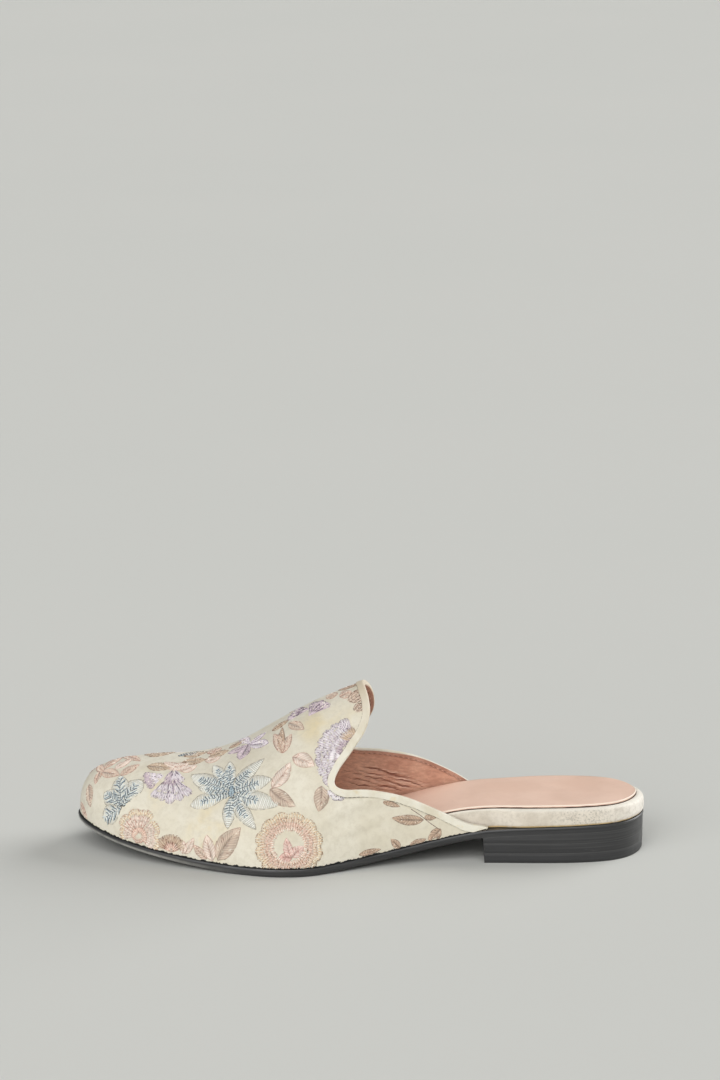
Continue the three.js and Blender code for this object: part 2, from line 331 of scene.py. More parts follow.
class Finish:
    """A procedural material, put together step by step: colour over colour and relief on relief."""

    def __init__(self, name, colour, roughness, specular, sheen=0.0):
        self.material = bpy.data.materials.new(name)
        self.material.use_nodes = True
        self.tree = self.material.node_tree
        self.shader = self.tree.nodes["Principled BSDF"]
        base = {"Roughness": roughness, "Specular IOR Level": specular, "Sheen Weight": sheen}
        self.fill(self.shader, base)
        self.place = self.node("TexCoord", {}).outputs["Object"]
        self.tone = srgb(*colour)
        self.relief = {}

    def fill(self, node, inputs):
        """Sets inputs of a node to values, or joins them to outputs of other nodes."""
        for key, value in inputs.items():
            if isinstance(value, bpy.types.NodeSocket):
                self.tree.links.new(value, node.inputs[key])
            else:
                node.inputs[key].default_value = value

    def node(self, kind, inputs, **settings):
        made = self.tree.nodes.new("ShaderNode" + kind)
        for key, value in settings.items():
            setattr(made, key, value)
        self.fill(made, inputs)
        return made

    def noise(self, size, detail, stretch=(1, 1, 1), rough=0.55):
        """Cloudy variation; size is in millimetres."""
        scale = [1 / (size * MM * s) for s in stretch]
        placed = self.node("Mapping", {"Vector": self.place, "Scale": scale}).outputs["Vector"]
        inputs = {"Vector": placed, "Scale": 1, "Detail": detail, "Roughness": rough}
        return self.node("TexNoise", inputs).outputs["Fac"]

    def clouds(self, size, detail, low, high, amount=1.0, stretch=(1, 1, 1), rough=0.55):
        """Soft patches: 0 where the noise is low, the amount where it is high."""
        return self.span(self.noise(size, detail, stretch, rough), low, high, 0, amount)

    def cells(self, size):
        """Distance to the edges of small cells, as in leather grain."""
        inputs = {"Vector": self.place, "Scale": 1 / (size * MM)}
        return self.node("TexVoronoi", inputs, feature="DISTANCE_TO_EDGE").outputs["Distance"]

    def threads(self, pitch, direction):
        """Fine parallel threads, as in a weave."""
        scale = math.pi / (10 * pitch * MM)
        inputs = {"Vector": self.place, "Scale": scale, "Distortion": 0.6, "Detail": 1}
        return self.node("TexWave", inputs, bands_direction=direction).outputs["Fac"]

    def attribute(self, name):
        return self.node("Attribute", {}, attribute_name=name).outputs["Fac"]

    def span(self, value, low, high, to_low=0.0, to_high=1.0):
        """A value that is turned smoothly from one range into another."""
        inputs = {"Value": value, "From Min": low, "From Max": high, "To Min": to_low, "To Max": to_high}
        return self.node("MapRange", inputs, interpolation_type="SMOOTHSTEP").outputs["Result"]

    def join(self, how, a, b):
        return self.node("Math", {0: a, 1: b}, operation=how).outputs[0]

    def near(self, spot, reach, amount=1.0):
        """The amount at a spot given in last coordinates, falling to 0 at its reach."""
        placed = (np.array(spot) + ORIGIN) * MM
        far = self.node("VectorMath", {0: self.place, 1: placed}, operation="DISTANCE").outputs["Value"]
        return self.span(far, 0, reach * MM, amount, 0)

    def over(self, share, colour):
        """Lays a colour over the tone so far."""
        inputs = {0: share, 6: self.tone, 7: srgb(*colour)}
        self.tone = self.node("Mix", inputs, data_type="RGBA").outputs[2]

    def uneven_gloss(self, size, detail, low, high):
        self.fill(self.shader, {"Roughness": self.span(self.noise(size, detail), 0.3, 0.7, low, high)})

    def bump(self, height, depth):
        """Relief on top of the relief so far; depth is in millimetres."""
        inputs = {"Strength": 1, "Distance": depth * MM, "Height": height, **self.relief}
        self.relief = {"Normal": self.node("Bump", inputs).outputs["Normal"]}

    def done(self):
        self.fill(self.shader, {"Base Color": self.tone, **self.relief})
        return self.material


CREAM = (229, 223, 206)
CREAM_SHADE = (219, 211, 190)
YELLOWED = (222, 203, 156)
DUST = (188, 183, 170)
BLACK = (38, 38, 38)

# Special spots of a surface: a place in last coordinates and how far round it
SATIN_STAINS = [
    ((109, -14, 58), 15),
    ((106, -16, 50), 10),
    ((120, -14, 62), 12),
    ((62, -34, 16), 22),
    ((36, -16, 34), 20),
    ((112, 24, 52), 16),
]
DARKER_TAB = ((128, 0, 76), 34)
# Painted light: the lining is lightened low in the throat, where it lies in shade
PAINTED_LIGHT_ON_LINING = ((120, 24, 28), 24)
# Painted light: the rim is lightened towards the heel end, where the light comes from
PAINTED_LIGHT_AT_RIM_END = ((254, -10, 21), 32)
SCUFFED_RIM = ((228, -26, 21), 20)


def weave(finish, pitch, depth):
    """Threads of a cloth that isn't quite flat."""
    finish.bump(finish.noise(7, 2), 0.12)
    finish.bump(finish.join("MULTIPLY", finish.threads(pitch, "X"), finish.threads(pitch, "Z")), depth)


def upper_satin():
    """Cream satin, yellowed in places, with black edge dressing that has crept up at the sole."""
    finish = Finish("upper_satin", CREAM, 0.62, 0.3, 0.15)
    finish.over(finish.clouds(26, 4, 0.38, 0.7), CREAM_SHADE)
    places = finish.near(*SATIN_STAINS[0])
    for stain in SATIN_STAINS[1:]:
        places = finish.join("MAXIMUM", places, finish.near(*stain))
    finish.over(finish.join("MULTIPLY", places, finish.clouds(15, 4, 0.42, 0.68, 0.75)), YELLOWED)
    mottle = finish.clouds(2.6, 5, 0.4, 0.68, 0.42, rough=0.7)
    finish.over(mottle, (204, 195, 174))
    specks = finish.clouds(1.2, 2, 0.7, 0.8, 0.3)
    finish.over(specks, DUST)
    ragged = finish.join("SUBTRACT", finish.attribute("above_sole"), finish.clouds(1.5, 3, 0.3, 0.75, 0.75))
    finish.over(finish.span(ragged, -0.08, 0.1, 1, 0), BLACK)
    weave(finish, 0.42, 0.05)
    return finish.done()


def tape_satin():
    """Cream satin tape, darker round the vamp's tab and worn yellow here and there."""
    finish = Finish("tape_satin", (230, 225, 209), 0.6, 0.3, 0.15)
    finish.over(finish.clouds(9, 4, 0.4, 0.72), (216, 208, 186))
    finish.over(finish.near(*DARKER_TAB, 0.9), (208, 194, 170))
    finish.over(finish.clouds(4, 3, 0.58, 0.75, 0.5), YELLOWED)
    weave(finish, 0.4, 0.03)
    return finish.done()


def rim_satin():
    """Satin over the padded footbed, scuffed grey, yellowed by glue at its foot, with a painted highlight on
    top.
    """
    finish = Finish("rim_satin", (225, 216, 201), 0.58, 0.35, 0.15)
    finish.over(finish.clouds(12, 4, 0.38, 0.7), (207, 197, 181))
    # Painted light towards the heel end
    finish.over(finish.near(*PAINTED_LIGHT_AT_RIM_END), (246, 240, 229))
    mottle = finish.clouds(1.8, 5, 0.42, 0.68, 0.45, rough=0.7)
    finish.over(mottle, (192, 182, 166))
    scuffs = finish.clouds(5, 6, 0.54, 0.74, 0.4, (3, 3, 0.8), 0.7)
    finish.over(scuffs, (172, 167, 156))
    grey = finish.clouds(0.9, 3, 0.5, 0.64, 0.6, rough=0.7)
    finish.over(finish.join("MULTIPLY", finish.near(*SCUFFED_RIM), grey), (150, 145, 135))
    share = finish.attribute("share")
    glue = finish.join("MULTIPLY", finish.span(share, 0.05, 0.2, 1, 0), finish.clouds(5, 3, 0.25, 0.55))
    finish.over(glue, (214, 184, 128))
    # Painted highlight along the top edge of the rim
    painted_highlight = finish.span(share, 0.72, 0.95, 0, 0.7)
    finish.over(painted_highlight, (240, 235, 222))
    weave(finish, 0.42, 0.04)
    return finish.done()


def lining_leather(name, light, dark):
    """Tan leather, with painted shade in the folds and a painted highlight on the ridges between them."""
    finish = Finish(name, light, 0.5, 0.4)
    finish.over(finish.clouds(10, 5, 0.35, 0.7), dark)
    # Painted light low in the throat
    finish.over(finish.near(*PAINTED_LIGHT_ON_LINING), (255, 220, 196))
    grain = finish.noise(1.1, 4, (2.4, 1, 1))
    finish.over(finish.span(grain, 0.35, 0.7, 0.3, 0), (140, 92, 76))
    fold = finish.attribute("fold")
    # Painted shade in the troughs of the wrinkles, painted highlight on their ridges
    finish.over(finish.span(fold, -0.9, -0.1, 0.85, 0), (122, 70, 54))
    finish.over(finish.span(fold, 0.1, 0.7, 0, 0.7), (244, 208, 186))
    finish.bump(grain, 0.2)
    finish.bump(finish.cells(0.9), 0.05)
    return finish.done()


def sock_leather():
    """Peach leather, a little worn, with a pale bevel round its edge: partly the paler cut edge, partly a
    painted highlight.
    """
    finish = Finish("sock_leather", (245, 212, 192), 0.46, 0.4)
    finish.over(finish.clouds(30, 4, 0.35, 0.7), (234, 199, 178))
    worn = finish.clouds(3.5, 5, 0.62, 0.8, 0.3)
    finish.over(worn, (214, 180, 163))
    share = finish.attribute("share")
    # Pale edge: the cut edge's own colour with a painted highlight on it
    bevel = finish.join("MULTIPLY", finish.span(share, 0.3, 0.6), finish.span(share, 0.93, 1.0, 1, 0))
    finish.over(bevel, (246, 230, 212))
    finish.uneven_gloss(14, 3, 0.4, 0.54)
    finish.bump(finish.noise(9, 3), 0.2)
    finish.bump(finish.cells(0.8), 0.025)
    return finish.done()


# Painted shade for the groove round the sock, with the dark of its glue
def sock_edge():
    finish = Finish("sock_edge", (46, 34, 28), 0.7, 0.2)
    finish.over(finish.noise(4, 3), (96, 72, 58))
    finish.bump(finish.noise(0.8, 2), 0.1)
    return finish.done()


def black_edge(name, roughness):
    """Black dressed leather with faint fine lines along the edge, lightened to grey by painted light where a
    piece marks it.
    """
    finish = Finish(name, (47, 47, 48), roughness, 0.5)
    lines = finish.noise(0.7, 3, (90, 90, 1))
    finish.over(finish.span(lines, 0.4, 0.75), (63, 63, 63))
    worn = finish.clouds(2.2, 5, 0.66, 0.8, 0.3, (4, 4, 1))
    finish.over(worn, (104, 103, 100))
    uneven = finish.span(finish.noise(3, 4), 0.2, 0.6, 0.6, 1)
    finish.over(finish.join("MULTIPLY", finish.attribute("scuffs"), uneven), (156, 155, 149))
    finish.uneven_gloss(6, 4, roughness - 0.08, roughness + 0.08)
    finish.bump(finish.noise(14, 2), 0.08)
    finish.bump(lines, 0.02)
    return finish.done()


def thread(name, dark, light):
    """Embroidery thread. Each stitch has its own shade between two tones: partly its own tone, partly painted
    sheen and shade.
    """
    finish = Finish(name, dark, 0.5, 0.35, 0.25)
    finish.over(finish.attribute("shade"), light)
    twist = finish.noise(0.35, 2)
    finish.over(finish.span(twist, 0.45, 0.8, 0, 0.25), dark)
    finish.bump(twist, 0.05)
    return finish.done()


# Sole and heel
FLUSH_INSET = 0.25
FLUSH_RUN = 4
# Where the painted reflection of the floor along the sole's lower edge fades out behind the toe
TOE_REFLECTION_END = 84
TOE_REFLECTION_RUN = 60


def sole_pieces():
    """Outsole with a rounded lower edge, which lies flush with the lifts at the heel."""
    edge = edge_rows("inset share", [(0.7, 0), (0.2, 0.12), (0, 0.45), (0, 0.8), (0.3, 1)])

    def layer(row):
        def inset(side, x):
            at_heel = smooth((x - BREAST) / FLUSH_RUN + 1)
            return mix(row["inset"], FLUSH_INSET, at_heel * (row["share"] < 0.7))

        return 0, inset, lambda x: sole_bottom(x) + row["share"] * sole_thickness(x)

    points, faces, shares = plate([layer(row) for row in edge], OUTLINE_STEPS)
    # Painted reflection of the floor: the lower part of the edge is lightened towards the toe
    at_toe = smooth((TOE_REFLECTION_END - points[:, 0]) / TOE_REFLECTION_RUN)
    scuffs = at_toe * smooth((0.7 - shares) / 0.3) * (shares > 0)
    make_piece("sole_edge_and_tread", points, faces, black_edge("sole_black", 0.36),
               ["outsole"], attributes={"scuffs": scuffs})


def heel_lift(name, low, high, inset, bevel, material, node):
    """One lift, its edges barely eased, with a faint painted highlight along the top."""
    ease = 0.05
    light_line = 0.16
    rows = [(inset + bevel, 0), (inset, 0.05 + 0.3 * bevel), (inset, 0.5), (inset, 0.95), (inset + ease, 1)]

    def layer(own, share):
        def height(x):
            return mix(low(x), high(x), share)

        depth = sole_bottom(BREAST) - height(np.array(BREAST))
        start = float(roll_at(BREAST + BREAST_SLANT * depth))
        return start, lambda side, x: np.full_like(x, own), height

    points, faces, shares = plate([layer(*row) for row in rows], HEEL_STEPS)
    # Painted highlight: a light line on the eased top edge
    scuffs = light_line * (shares > 0.9)
    make_piece(name, points, faces, material, [node], attributes={"scuffs": scuffs})


def heel_pieces():
    """Lifts that are glued together, so that only a hair line shows between them."""
    hair = 0.03

    def level(z):
        return lambda x: np.full_like(x, z, dtype=float)

    second_low = TOP_LIFT_HEIGHT + GAP
    first_low = second_low + LIFT_HEIGHT + GAP
    leather = black_edge("heel_black", 0.4)
    rubber = black_edge("top_lift_black", 0.5)
    heel_lift("heel_first_lift", level(first_low), lambda x: sole_bottom(x) - hair, 0.3, 0.05, leather,
              "heel_lift_1")
    heel_lift("heel_second_lift", level(second_low), level(first_low - hair), 0.34, 0.05, leather,
              "heel_lift_2")
    heel_lift("heel_tread_lift", level(0), level(second_low - hair), 0.42, 0.5, rubber,
              "heel_top_lift")


# Footbed and sock
def bed_inset(side, x):
    return mix(INSIDE_INSET, 0, exposure(side, x))


def footbed():
    """Padded rim: full in the middle, with slight puckers where the satin is pulled under."""
    edge = edge_rows("plain padded share", [
        (0.2, 0.7, 0),
        (0, 0.15, 0.14),
        (0, 0, 0.4),
        (0, 0.12, 0.7),
        (0.1, 0.6, 0.9),
        (0.3, 2, 1),
    ], 26)

    def layer(row):
        def inset(side, x):
            pull = math.sin(math.pi * min(max(row["share"], 0), 1))
            pucker = 0.07 * np.sin(x * 0.9 + 2 * np.sin(x * 0.23)) * (1 - row["share"])
            swell = 0.1 * np.sin(x * 0.16 + 1) * pull
            return bed_inset(side, x) + mix(row["plain"], row["padded"] + pucker + swell, exposure(side, x))

        return 0, inset, lambda x: mix(sole_top(x) + GAP, bed_top(x), row["share"])

    points, faces, shares = plate([layer(row) for row in edge], OUTLINE_STEPS)
    piece = make_piece("footbed_satin_rim", points, faces, rim_satin(), ["insole"],
                       attributes={"share": shares})


def sock_inset(side, x):
    return bed_inset(side, x) + mix(INSIDE_MARGIN, RIM_MARGIN, exposure(side, x))


def sock():
    """Leather cover, worn hollow under the heel and the ball of the foot."""
    edge = edge_rows("inset share", [(0.2, 0), (0, 0.4), (0.1, 0.8), (0.45, 1)], 10)

    def layer(row):
        def inset(side, x):
            return sock_inset(side, x) + row["inset"]

        return 0, inset, lambda x: bed_top(x) + GAP + row["share"] * SOCK_THICKNESS

    def hollow(points):
        x, y = points[..., 0], points[..., 1]
        heel = np.exp(-((x - 222) / 26) ** 2 - (y / 16) ** 2)
        ball = np.exp(-((x - 84) / 24) ** 2 - ((y + 4) / 22) ** 2)
        return -0.35 * heel - 0.3 * ball

    points, faces, shares = plate([layer(row) for row in edge], OUTLINE_STEPS, hollow)
    make_piece("sock_leather_cover", points, faces, sock_leather(), ["sock"],
               attributes={"share": shares})


def sock_groove():
    """Dark line round the sock, low in the groove at the rim: painted shade of the groove, with its glue."""
    hidden_end = 150
    heel_middle = np.array([215, 0])
    outside = 0.25
    width = 0.35
    lift = 0.03
    slope = 0.12
    roll = np.linspace(roll_at(hidden_end), math.pi, 260)
    x = place_at(roll)
    lateral, medial = [outline_points(side, roll, sock_inset(side, x) - outside) for side in SIDES]
    flat = np.vstack([lateral, medial[::-1][1:]])
    bed = bed_top(flat[:, 0])
    rise = 0.26 + 0.12 * np.sin(flat[:, 0] * 0.19 + 2) + 0.08 * np.sin(flat[:, 0] * 0.83)
    inward = np.gradient(flat, axis=0)
    inward = np.stack([inward[:, 1], -inward[:, 0]], -1) / np.linalg.norm(inward, axis=1)[:, None]
    toward = np.sign(np.sum(inward * (heel_middle - flat), axis=1))[:, None]
    inner = flat + inward * toward * width
    corners = ((flat, lift), (flat, rise), (inner, rise + slope), (inner, lift), (flat, lift))
    rows = [np.column_stack([line, bed + height]) for line, height in corners]
    faces = grid_faces(len(rows), len(flat))
    make_piece("sock_cut_edge", np.vstack(rows), faces, sock_edge())


# Upper
def last_points(roll, angle):
    """Points of the upper's outer face, from the roll along the last and the angle round its section."""
    lateral = (angle <= math.pi / 2)[..., None]
    foot = np.where(lateral, *[outline_points(side, roll, FEATHER_INSET) for side in SIDES])
    base = sole_top(foot[..., 0]) + GAP
    up = np.maximum(np.sin(angle), 0) ** (2 / upright(roll))
    y = mix(ridge(roll), foot[..., 1], np.abs(np.cos(angle)))
    return np.stack([foot[..., 0], y, mix(base, np.maximum(crown(roll), base), up)], -1)


def outer_grid():
    """Outer face of the upper, a row of points for each rib, from the topline down to the sole."""
    halves = {}
    for side, sign in (("lateral", -1), ("medial", 1)):
        halves[side] = {
            "at": TOPLINE[f"{side}_at"],
            "angle": 90 + sign * (90 - TOPLINE[f"{side}_angle"]),
            "foot": sign * roll_at(TOPLINE[f"{side}_at"] - TOPLINE["rib_lead"]),
        }
    joined = {
        key: np.concatenate([halves["lateral"][key], halves["medial"][key][-2::-1]])
        for key in ("at", "angle", "foot")
    }
    order = np.arange(len(joined["at"]), dtype=float)
    fine = np.linspace(0, order[-1], RIBS + 1)
    roll = roll_at(curve(order, joined["at"])(fine))
    turned = np.radians(curve(order, joined["angle"])(fine))
    top = np.stack([-roll * np.cos(turned), roll * np.sin(turned)], -1)
    foot = np.stack([curve(order, joined["foot"])(fine), np.zeros(RIBS + 1)], -1)
    share = np.linspace(0, 1, RIB_STEPS + 1)[:, None]
    spots = mix(top[:, None], foot[:, None], share)
    angle = np.arctan2(np.maximum(spots[..., 1], 0), -spots[..., 0])
    return last_points(np.maximum(np.hypot(spots[..., 0], spots[..., 1]), 1e-3), angle)


def unit(vectors):
    return vectors / np.maximum(np.linalg.norm(vectors, axis=-1, keepdims=True), 1e-9)


def directions(grid):
    """Out of the surface and down the rib, at each point of a grid."""
    along = unit(np.gradient(grid, axis=0))
    out = unit(np.cross(along, np.gradient(grid, axis=1)))
    return out, np.cross(out, along)


OUTER = outer_grid()
OUT, DOWN = directions(OUTER)
ABOVE_SOLE = OUTER[..., 2] - sole_top(OUTER[..., 0]) - GAP

Crease = namedtuple("Crease", "start end bow width depth")

# The fold at the throat's corner and the slack in the quarters
SATIN_CREASES = [Crease(*row) for row in (
    ((106, 23), (131, 34), 3.0, 2.6, 0.45),
    ((112, 18), (150, 27), 2.0, 3.0, 0.32),
    ((120, 14), (140, 22), -1.5, 2.4, 0.26),
    ((146, 21), (168, 23), 1.0, 2.2, 0.2),
    ((96, 40), (112, 50), 1.5, 3.0, 0.3),
    ((60, 30), (86, 41), -2.0, 4.0, 0.2),
)]

# Wrinkles of the lining, running down from the throat's corner towards the heel
LINING_CREASES = [Crease(*row) for row in (
    ((127, 31.4), (146, 27.0), 0.5, 0.45, 0.3),
    ((132, 30.6), (152, 25.4), 0.4, 0.45, 0.34),
    ((124, 29.6), (142, 25.4), 0.4, 0.4, 0.3),
    ((122, 27.8), (136, 25.2), 0.3, 0.4, 0.3),
    ((138, 28.2), (156, 23.4), 0.3, 0.4, 0.34),
    ((130, 26.8), (151, 21.4), 0.4, 0.45, 0.34),
    ((118, 29.2), (129, 27.2), 0.2, 0.35, 0.24),
    ((121, 25.6), (134, 23.0), 0.3, 0.4, 0.3),
    ((144, 25.4), (158, 21.6), 0.3, 0.4, 0.3),
    ((129, 24.0), (147, 20.0), 0.3, 0.4, 0.3),
    ((119, 23.6), (131, 21.2), 0.2, 0.4, 0.26),
    ((134, 29.2), (149, 25.8), 0.3, 0.35, 0.32),
    ((140, 26.6), (157, 22.2), 0.3, 0.35, 0.36),
    ((136, 24.8), (153, 20.8), 0.3, 0.35, 0.36),
    ((146, 27.4), (160, 23.0), 0.2, 0.3, 0.28),
    ((133, 22.6), (149, 19.2), 0.3, 0.35, 0.34),
    ((127, 26.2), (140, 23.4), 0.3, 0.35, 0.3),
    ((126, 22.2), (140, 19.8), 0.2, 0.35, 0.3),
)]


def crease_relief(points, rows, wobble=0.0):
    """Soft troughs with a low ridge at each side, alike on both sides of the shoe. Places are given as seen
    from the side: behind the toe, and height. The wobble lets them stray up and down."""
    x, z = points[..., 0], points[..., 2]
    stray = np.sin(0.62 * x + 0.5 * z) + 0.6 * np.sin(1.3 * x - 0.9 * z)
    flat = np.stack([x, z + wobble * stray], -1)
    relief = np.zeros(x.shape)
    for row in rows:
        start = np.array(row.start, float)
        way = row.end - start
        t = np.clip(((flat - start) @ way) / (way @ way), 0, 1)
        bow = row.bow * 4 * t * (1 - t)
        across = np.array([-way[1], way[0]]) / np.linalg.norm(way)
        middle = start + t[..., None] * way + bow[..., None] * across
        far = np.linalg.norm(flat - middle, axis=-1) / row.width
        fade = np.sin(math.pi * np.clip(t, 0.02, 0.98)) ** 0.6
        trough = -np.exp(-far ** 2) + 0.55 * np.exp(-((far - 1.7) / 0.8) ** 2)
        relief += row.depth * trough * fade
    return relief


def hem_puckers():
    """Small gathers where the satin is pulled under the feather edge."""
    along = OUTER[..., 0] + 0.6 * OUTER[..., 1]
    gathers = np.sin(along * 1.15 + 1.4 * np.sin(along * 0.31))
    return 0.11 * gathers * np.exp(-ABOVE_SOLE / 3.2) * smooth(ABOVE_SOLE / 0.8)


def off_edges(steps):
    """0 at the topline and at the sole, 1 from some steps away from them."""
    edge = np.minimum(np.arange(RIB_STEPS + 1), np.arange(RIB_STEPS, -1, -1))
    return smooth(edge / steps)


SATIN_RELIEF = (crease_relief(OUTER, SATIN_CREASES) + hem_puckers()) * off_edges(4)
SATIN = OUTER + OUT * SATIN_RELIEF[..., None]


def inner_grid(depth):
    """The upper's outer face moved in, square to itself but level along its lower edge."""
    out = OUT.copy()
    out[:, -1, 2] = 0
    out[:, -1] = unit(out[:, -1])
    return OUTER - out * np.asarray(depth)[..., None]


def shell_piece(name, outside, inside, material, attributes):
    """A closed sheet of the upper between two grids of the same size."""
    rows, steps = outside.shape[:2]
    count = rows * steps
    number = np.arange(count).reshape(rows, steps)
    rim = np.concatenate([number[0, :-1], number[:-1, -1], number[-1, :0:-1], number[::-1, 0]])
    after = np.roll(rim, -1)
    wall = np.stack([rim, after, after + count, rim + count], -1)[rim != after]
    faces = np.vstack([grid_faces(rows, steps), grid_faces(rows, steps, count)[:, ::-1], wall])
    points = np.vstack([outside.reshape(-1, 3), inside.reshape(-1, 3)])
    doubled = {key: np.tile(values.ravel(), 2) for key, values in attributes.items()}
    make_piece(name, points, faces, material, ["upper"], attributes=doubled)


def upper_pieces():
    """Satin outside and leather inside."""
    satin_thickness = 0.85
    glue_line = 0.05
    shell_piece("upper_satin_skin", SATIN, inner_grid(satin_thickness), upper_satin(),
                {"above_sole": ABOVE_SOLE})
    # The wrinkles' depth also sets the lining's painted shade and highlight
    wrinkles = crease_relief(inner_grid(WALL), LINING_CREASES, 0.3) * off_edges(6)
    lining = inner_grid(WALL + np.maximum(wrinkles, -0.5))
    leather = lining_leather("lining_leather", (225, 180, 155), (206, 157, 134))
    shell_piece("upper_leather_lining", inner_grid(satin_thickness + glue_line), lining, leather,
                {"fold": np.clip(wrinkles / 0.3, -1, 1)})


def travel_along(line):
    """How far along a line each of its points is."""
    return np.concatenate([[0], np.cumsum(np.linalg.norm(np.diff(line, axis=0), axis=1))])


def points_along(at, travel, line):
    """Points of a line at set distances along it."""
    return np.stack([np.interp(at, travel, line[:, axis]) for axis in range(3)], -1)


def band(distances, depth):
    """Points at set distances below the topline, moved in from the outer face. Negative ones lie above it."""
    most = 0.85
    rows = []
    for outer_rib, rib in zip(OUTER, inner_grid(depth)):
        travel = travel_along(outer_rib)
        at = np.minimum(distances, most * travel[-1])
        above = 2 * rib[:1] - rib[1:2]
        rows.append(points_along(at, np.concatenate([[-travel[1]], travel]), np.vstack([above, rib])))
    return np.array(rows)


def facing():
    """A leather strip sewn inside the topline."""
    width = 1.9
    thickness = 0.3
    distances = np.linspace(-0.5, width, 11)
    outside = band(distances, WALL - 0.05)
    inside = band(distances, WALL + thickness)
    inside[:, -1] = band(distances, WALL + 0.4 * thickness)[:, -1]
    # A painted highlight along the facing's lower edge
    fold = np.zeros(inside.shape[:2])
    fold[:, -1] = 0.6
    leather = lining_leather("facing_leather", (210, 168, 147), (178, 132, 112))
    shell_piece("topline_facing", outside, inside, leather, {"fold": fold})
    line = band(np.array([0.6 * width]), WALL + thickness)[:, 0]
    sewn = thread("facing_thread", (110, 66, 52), (226, 182, 158))
    seam("facing_seam", line, -OUT[:, 0], sewn, length=0.8, gap=0.4, width=0.36)


def binding():
    """A tape along the topline that folds over the edge. It is rounded at its ends, and pressed flat over the
    edge towards the end of the inner quarter."""
    out_face = GAP + TAPE
    fold = edge_rows("out leg rise", [
        (GAP, 1, 0),
        (out_face - 0.12, 1, 0),
        (out_face, 0.94, 0),
        (out_face, 0.1, 0),
        (out_face - 0.3, 0, 0.75),
        (-WALL / 2, 0, 1),
        (-WALL + 0.2, 0, 0.95),
        (-WALL, 0, 0.7),
        (-WALL + 0.1, 0, GAP / out_face),
        (GAP, 0, GAP / out_face),
    ], 28)
    end_rounding = 6
    pressed_from = 138
    pressed_run = 26
    pressed_rise = 0.1
    seam_drop = 0.12
    out, down, top = OUT[:, 0], DOWN[:, 0], OUTER[:, 0]
    room = ABOVE_SOLE[:, 0] / np.maximum(-down[:, 2], 0.2)
    travel = travel_along(top)
    waver = 1 + 0.05 * np.sin(travel * 0.21) + 0.03 * np.sin(travel * 0.67 + 1)
    leg = np.minimum(0.88 * BINDING_WIDTH, room) * waver
    from_end = np.minimum(travel, travel[-1] - travel)
    rounded = np.sqrt(np.clip(from_end / end_rounding, 0.03, 1))
    pressed = smooth((top[:, 0] - pressed_from) / pressed_run) * (top[:, 1] > 0)
    rise = out_face * mix(1, pressed_rise, pressed)
    rings = []
    for row in fold:
        drop = (row["leg"] * leg - row["rise"] * rise) * rounded
        rings.append(top + out * row["out"] + down * drop[:, None])
    rings.append(rings[0])
    points = np.stack(rings, 1)
    rows, steps = points.shape[:2]
    middle = points[:, :-1].mean(1)
    faces = [grid_faces(rows, steps)]
    for end, centre in ((0, rows * steps), (rows - 1, rows * steps + 1)):
        ring = np.arange(steps - 1) + end * steps
        tip = np.full_like(ring, centre)
        faces.append(np.stack([ring, ring + 1, tip, tip], -1))
    points = np.vstack([points.reshape(-1, 3), middle[:1], middle[-1:]])
    make_piece("topline_tape", points, np.vstack(faces), tape_satin(), ["topline_binding"])
    # Dark stitches along the tape's lower edge: a seam, and painted shade of the fold where the tape meets
    # the satin
    sewn = thread("seam_thread", (112, 98, 84), (190, 180, 162))
    hem = top + down * (leg + seam_drop)[:, None]
    seam("topline_seam", hem, out, sewn, length=1.5, gap=0.5, width=0.34)


# Camera of the photograph
PHOTO_SIZE = (720, 1080)
DISTANCE = 1800
SIGHT_ELEVATION = math.radians(17)
ANCHOR_SHIFT = 0.19
ANCHOR = np.array([0, ORIGIN[1] + ANCHOR_SHIFT, 0])
ANCHOR_PIXEL = (360, 845)
PIXELS_PER_MM = 2.2024
FOCAL = PIXELS_PER_MM * DISTANCE
PITCH = SIGHT_ELEVATION - math.atan((ANCHOR_PIXEL[1] - PHOTO_SIZE[1] / 2) / FOCAL)
EYE = ANCHOR + DISTANCE * np.array([0, -math.cos(SIGHT_ELEVATION), math.sin(SIGHT_ELEVATION)])


def camera():
    lens = bpy.data.cameras.new("camera")
    lens.sensor_width = 36
    lens.lens = FOCAL / max(PHOTO_SIZE) * lens.sensor_width
    lens.clip_end = 60
    view = bpy.data.objects.new("camera", lens)
    bpy.context.scene.collection.objects.link(view)
    view.location = EYE * MM
    view.rotation_euler = (math.pi / 2 - PITCH, 0, 0)
    bpy.context.scene.camera = view


# Threads
STITCH_POINTS = 4
STITCH_CORNERS = 4


def thread_tubes(spots, normals, width, rise):
    """Closed threads along rows of points on a surface, thin at both ends and sunk a little below."""
    sunk = 0.06
    along = unit(np.gradient(spots, axis=1))
    across = unit(np.cross(normals, along))
    t = np.linspace(0, 1, STITCH_POINTS)
    arch = (np.sin(math.pi * np.clip(t, 0.06, 0.94)) ** 0.5)[:, None]
    half = 0.5 * width * (0.4 + 0.6 * arch)
    return np.stack([
        spots - across * half,
        spots + normals * rise * arch,
        spots + across * half,
        spots - normals * sunk,
    ], 2)


def thread_piece(name, tubes, shade, material):
    """Many threads as one mesh, each with its own shade."""
    i, j = np.meshgrid(np.arange(STITCH_POINTS - 1), np.arange(STITCH_CORNERS), indexing="ij")
    ring = i * STITCH_CORNERS
    after = (j + 1) % STITCH_CORNERS
    further = ring + STITCH_CORNERS
    sides = np.stack([ring + j, further + j, further + after, ring + after], -1).reshape(-1, 4)
    size = STITCH_POINTS * STITCH_CORNERS
    first_end = np.arange(STITCH_CORNERS)
    one = np.vstack([sides, first_end, size - 1 - first_end])
    faces = (one[None] + (np.arange(len(tubes)) * size)[:, None, None]).reshape(-1, 4)
    make_piece(name, tubes.reshape(-1, 3), faces, material, weld=False, sharp=180,
               attributes={"shade": np.repeat(shade, size)})


